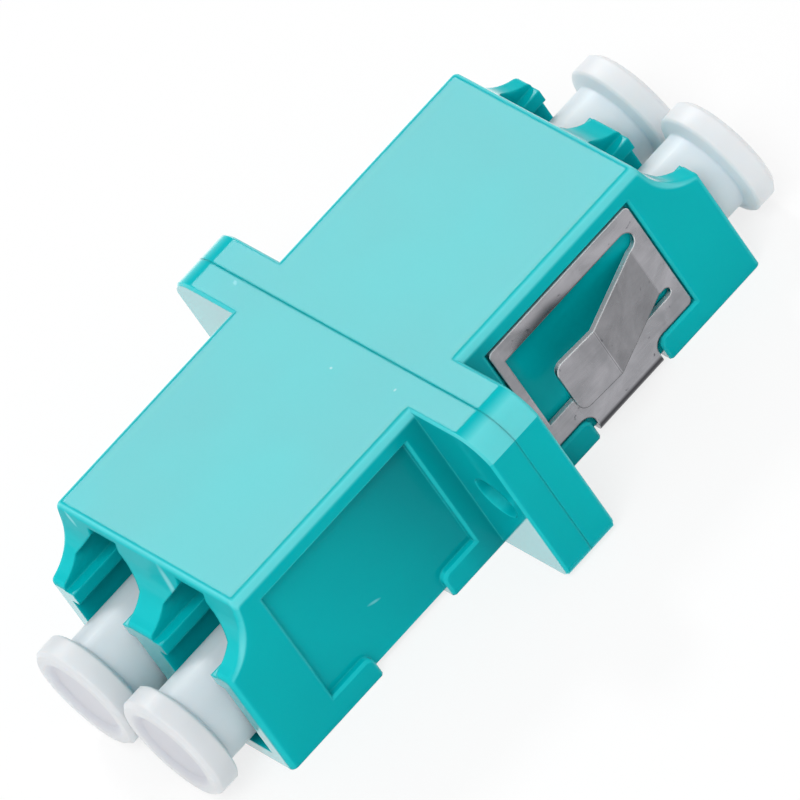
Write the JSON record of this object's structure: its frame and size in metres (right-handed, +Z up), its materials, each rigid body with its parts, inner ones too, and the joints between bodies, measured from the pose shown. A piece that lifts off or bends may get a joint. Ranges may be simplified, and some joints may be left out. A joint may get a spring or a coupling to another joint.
{
  "type": "lc duplex fibre adapter",
  "caption": "Flanged fibre adapter: two square plug ports at each end, side clip with sprung tongues, pull-out dust caps.",
  "frame": {"origin": "middle of the underside, on the seam of the two halves", "axes": "+X along the fibres from the near end to the far end with the clip, +Y to the left across, +Z up"},
  "size_m": [0.0364, 0.0222, 0.0092],
  "materials": {
    "housing": "glossy moulded aqua plastic",
    "sleeve": "ground white ceramic",
    "clip": "rolled spring steel, bright cut edges",
    "dust_cap": "soft translucent white plastic"
  },
  "bodies": {
    "housing": {"housing_near": "housing", "housing_far": "housing", "split_sleeve_left": "sleeve", "split_sleeve_right": "sleeve", "panel_clip": "clip"},
    "cap_near_left": {"dust_cap_near_left": "dust_cap"},
    "cap_near_right": {"dust_cap_near_right": "dust_cap"},
    "cap_far_left": {"dust_cap_far_left": "dust_cap"},
    "cap_far_right": {"dust_cap_far_right": "dust_cap"}
  },
  "joints": [
    {"name": "pull_near_left", "type": "slide", "parent": "housing", "child": "cap_near_left", "axis": [-1, 0, 0], "range_m": [0, 0.014]},
    {"name": "pull_near_right", "type": "slide", "parent": "housing", "child": "cap_near_right", "axis": [-1, 0, 0], "range_m": [0, 0.014]},
    {"name": "pull_far_left", "type": "slide", "parent": "housing", "child": "cap_far_left", "axis": [1, 0, 0], "range_m": [0, 0.014]},
    {"name": "pull_far_right", "type": "slide", "parent": "housing", "child": "cap_far_right", "axis": [1, 0, 0], "range_m": [0, 0.014]}
  ]
}
